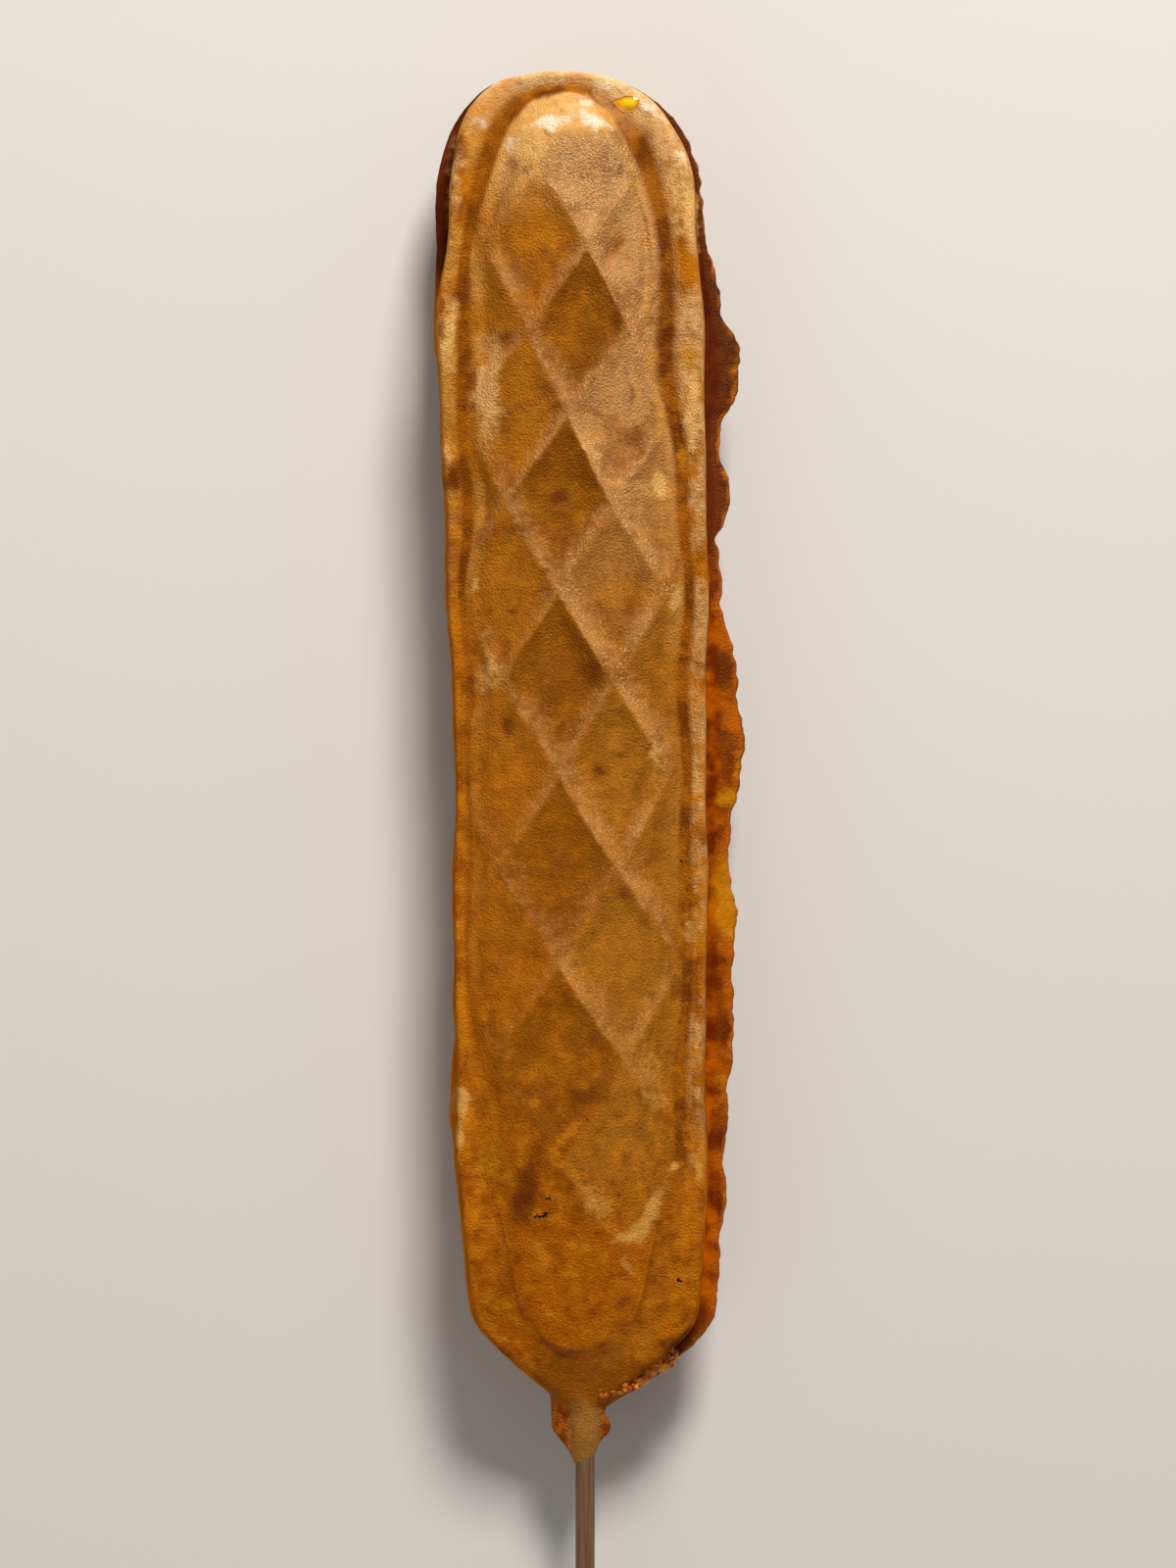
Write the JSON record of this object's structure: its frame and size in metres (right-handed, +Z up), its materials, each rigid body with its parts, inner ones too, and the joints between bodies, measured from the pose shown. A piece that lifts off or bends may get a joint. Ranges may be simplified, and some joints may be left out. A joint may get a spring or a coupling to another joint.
{
  "type": "waffle dog on a stick",
  "caption": "Long waffle baked round a bamboo stick, with a raised diamond lattice on both faces, a grooved rim, a ragged flash of crust along one side and a dribble of batter on the stick.",
  "frame": {"origin": "on the ground, under the centre of the box round the whole waffle dog", "axes": "+Y along the stick to the waffle's rounded tip, +Z up out of the shown face, +X to the side with the wide flash"},
  "size_m": [0.0472, 0.2906, 0.0284],
  "materials": {
    "crust": "baked batter crust, finely pitted, tan to orange-brown with pale patches and dark browned flash",
    "bamboo": "plain round bamboo with fine lengthwise grain"
  },
  "bodies": {
    "root": {"waffle": "crust", "stick": "bamboo"}
  },
  "joints": []
}
